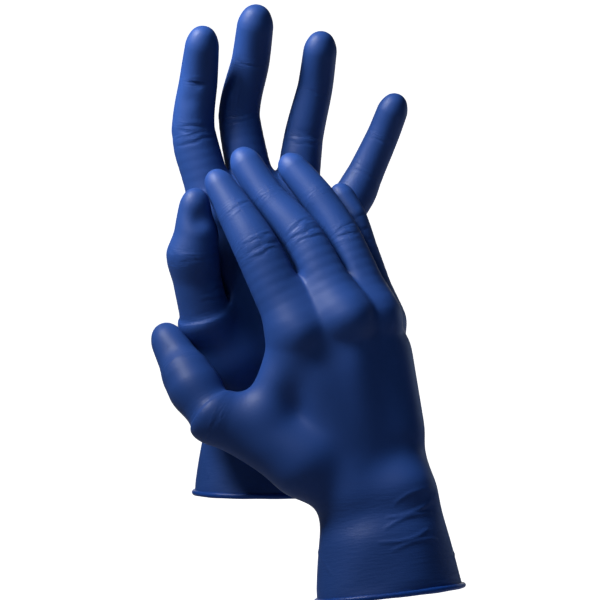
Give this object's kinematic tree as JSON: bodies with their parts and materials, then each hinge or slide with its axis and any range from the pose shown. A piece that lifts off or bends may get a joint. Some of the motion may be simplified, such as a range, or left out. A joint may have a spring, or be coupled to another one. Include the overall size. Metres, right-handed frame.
{
  "type": "pair of gloves",
  "caption": "Thin film gloves in the shape of two hands laid palm to palm, fingers bent and thumbs out, open rolled cuffs, each finger and thumb hollow.",
  "frame": {"origin": "centre of the left glove's open cuff, in the plane of its rolled bead's lower edge", "axes": "+Z along the left glove from cuff to fingertips; -Y is the way the left palm faces, towards the right glove; +X towards the left hand's little finger"},
  "size_m": [0.155, 0.1078, 0.298],
  "materials": {
    "film": "matt dark blue nitrile film",
    "bead": "the same film rolled up on itself, a little darker"
  },
  "bodies": {
    "left_cuff": {"left_cuff": "film", "left_cuff_bead": "bead"},
    "left_palm": {"left_palm": "film"},
    "left_finger_bases": {"left_finger_bases": "film"},
    "left_index_middle": {"left_index_middle": "film"},
    "left_index_tip": {"left_index_tip": "film"},
    "left_middle_middle": {"left_middle_middle": "film"},
    "left_middle_tip": {"left_middle_tip": "film"},
    "left_ring_middle": {"left_ring_middle": "film"},
    "left_ring_tip": {"left_ring_tip": "film"},
    "left_little_middle": {"left_little_middle": "film"},
    "left_little_tip": {"left_little_tip": "film"},
    "left_thumb_middle": {"left_thumb_middle": "film"},
    "left_thumb_tip": {"left_thumb_tip": "film"},
    "right_palm": {"right_palm": "film"},
    "right_cuff": {"right_cuff": "film", "right_cuff_bead": "bead"},
    "right_finger_bases": {"right_finger_bases": "film"},
    "right_index_middle": {"right_index_middle": "film"},
    "right_index_tip": {"right_index_tip": "film"},
    "right_middle_middle": {"right_middle_middle": "film"},
    "right_middle_tip": {"right_middle_tip": "film"},
    "right_ring_middle": {"right_ring_middle": "film"},
    "right_ring_tip": {"right_ring_tip": "film"},
    "right_little_middle": {"right_little_middle": "film"},
    "right_little_tip": {"right_little_tip": "film"},
    "right_thumb_middle": {"right_thumb_middle": "film"},
    "right_thumb_tip": {"right_thumb_tip": "film"}
  },
  "joints": [
    {"name": "left_wrist_bend", "type": "hinge", "parent": "left_cuff", "child": "left_palm", "pos_m": [0, 0, 0.05], "axis": [1, 0, 0], "range_deg": [-30, 0]},
    {"name": "left_knuckle_bend", "type": "hinge", "parent": "left_palm", "child": "left_finger_bases", "pos_m": [0.00425, -0.001, 0.13725], "axis": [0.9575, 0.1998, -0.2081], "range_deg": [-25, 0]},
    {"name": "left_index_bend", "type": "hinge", "parent": "left_finger_bases", "child": "left_index_middle", "pos_m": [-0.036, -0.007, 0.1855], "axis": [0.9808, 0.1693, 0.0967], "range_deg": [0, 65]},
    {"name": "left_index_tip_bend", "type": "hinge", "parent": "left_index_middle", "child": "left_index_tip", "pos_m": [-0.0332, -0.012, 0.2115], "axis": [0.9811, 0.1693, -0.0937], "range_deg": [0, 39]},
    {"name": "left_middle_bend", "type": "hinge", "parent": "left_finger_bases", "child": "left_middle_middle", "pos_m": [-0.0132, 0.002, 0.1935], "axis": [0.9854, 0.1701, -0.0056], "range_deg": [0, 65]},
    {"name": "left_middle_tip_bend", "type": "hinge", "parent": "left_middle_middle", "child": "left_middle_tip", "pos_m": [-0.0072, -0.003, 0.2212], "axis": [0.972, 0.1678, -0.1646], "range_deg": [0, 39]},
    {"name": "left_ring_bend", "type": "hinge", "parent": "left_finger_bases", "child": "left_ring_middle", "pos_m": [0.0198, 0.007, 0.183], "axis": [0.9714, 0.1676, -0.1684], "range_deg": [0, 65]},
    {"name": "left_ring_tip_bend", "type": "hinge", "parent": "left_ring_middle", "child": "left_ring_tip", "pos_m": [0.0257, 0.003, 0.2082], "axis": [0.9713, 0.1676, -0.1686], "range_deg": [0, 39]},
    {"name": "left_little_bend", "type": "hinge", "parent": "left_finger_bases", "child": "left_little_middle", "pos_m": [0.0514, 0.009, 0.1645], "axis": [0.8824, 0.1523, -0.4453], "range_deg": [0, 65]},
    {"name": "left_little_tip_bend", "type": "hinge", "parent": "left_little_middle", "child": "left_little_tip", "pos_m": [0.0603, 0.006, 0.1835], "axis": [0.9355, 0.1615, -0.3144], "range_deg": [0, 39]},
    {"name": "left_thumb_bend", "type": "hinge", "parent": "left_palm", "child": "left_thumb_middle", "pos_m": [-0.0293, -0.022, 0.0905], "axis": [0, -0.9286, -0.3711], "range_deg": [0, 30]},
    {"name": "left_thumb_tip_bend", "type": "hinge", "parent": "left_thumb_middle", "child": "left_thumb_tip", "pos_m": [-0.0358, -0.03, 0.1225], "axis": [0, -0.9766, -0.2152], "range_deg": [0, 20]},
    {"name": "right_glove_lift", "type": "slide", "parent": "left_palm", "child": "right_palm", "axis": [0, -1, 0], "range_m": [0, 0.15]},
    {"name": "right_wrist_bend", "type": "hinge", "parent": "right_palm", "child": "right_cuff", "pos_m": [0.0565, -0.048, 0.004], "axis": [1, 0, 0], "range_deg": [-20, 25]},
    {"name": "right_knuckle_bend", "type": "hinge", "parent": "right_palm", "child": "right_finger_bases", "pos_m": [0.0385, -0.0345, 0.0865], "axis": [-0.8428, -0.5292, -0.098], "range_deg": [-25, 0]},
    {"name": "right_index_bend", "type": "hinge", "parent": "right_finger_bases", "child": "right_index_middle", "pos_m": [-0.003, -0.042, 0.1245], "axis": [-0.8833, -0.2185, -0.4148], "range_deg": [-12, 0]},
    {"name": "right_index_tip_bend", "type": "hinge", "parent": "right_index_middle", "child": "right_index_tip", "pos_m": [-0.0133, -0.0355, 0.1425], "axis": [-0.8713, -0.2156, -0.4408], "range_deg": [-8, 0]},
    {"name": "right_middle_bend", "type": "hinge", "parent": "right_finger_bases", "child": "right_middle_middle", "pos_m": [0.019, -0.036, 0.1305], "axis": [-0.8384, -0.2533, -0.4827], "range_deg": [-12, 0]},
    {"name": "right_middle_tip_bend", "type": "hinge", "parent": "right_middle_middle", "child": "right_middle_tip", "pos_m": [0.002, -0.0275, 0.15], "axis": [-0.8212, -0.2481, -0.5139], "range_deg": [-8, 0]},
    {"name": "right_ring_bend", "type": "hinge", "parent": "right_finger_bases", "child": "right_ring_middle", "pos_m": [0.0394, -0.0288, 0.1305], "axis": [-0.8075, -0.5351, -0.2481], "range_deg": [-12, 0]},
    {"name": "right_ring_tip_bend", "type": "hinge", "parent": "right_ring_middle", "child": "right_ring_tip", "pos_m": [0.027, -0.0223, 0.1505], "axis": [-0.7645, -0.5066, -0.3986], "range_deg": [-8, 0]},
    {"name": "right_little_bend", "type": "hinge", "parent": "right_finger_bases", "child": "right_little_middle", "pos_m": [0.049, -0.014, 0.1265], "axis": [-0.5992, -0.7989, -0.0512], "range_deg": [-12, 0]},
    {"name": "right_little_tip_bend", "type": "hinge", "parent": "right_little_middle", "child": "right_little_tip", "pos_m": [0.0445, -0.012, 0.141], "axis": [-0.5981, -0.7974, -0.0803], "range_deg": [-8, 0]},
    {"name": "right_thumb_bend", "type": "hinge", "parent": "right_palm", "child": "right_thumb_middle", "pos_m": [-0.0246, -0.047, 0.0426], "axis": [0, -0.9226, 0.3857], "range_deg": [0, 30]},
    {"name": "right_thumb_tip_bend", "type": "hinge", "parent": "right_thumb_middle", "child": "right_thumb_tip", "pos_m": [-0.0397, -0.033, 0.0652], "axis": [0, -0.8136, 0.5814], "range_deg": [0, 20]}
  ],
  "couplings": [
    {"joint": "left_index_tip_bend", "follows": "left_index_bend", "ratio": 0.6},
    {"joint": "left_middle_tip_bend", "follows": "left_middle_bend", "ratio": 0.6},
    {"joint": "left_ring_tip_bend", "follows": "left_ring_bend", "ratio": 0.6},
    {"joint": "left_little_tip_bend", "follows": "left_little_bend", "ratio": 0.6},
    {"joint": "right_index_tip_bend", "follows": "right_index_bend", "ratio": 0.6666},
    {"joint": "right_middle_tip_bend", "follows": "right_middle_bend", "ratio": 0.6666},
    {"joint": "right_ring_tip_bend", "follows": "right_ring_bend", "ratio": 0.6666},
    {"joint": "right_little_tip_bend", "follows": "right_little_bend", "ratio": 0.6666}
  ]
}
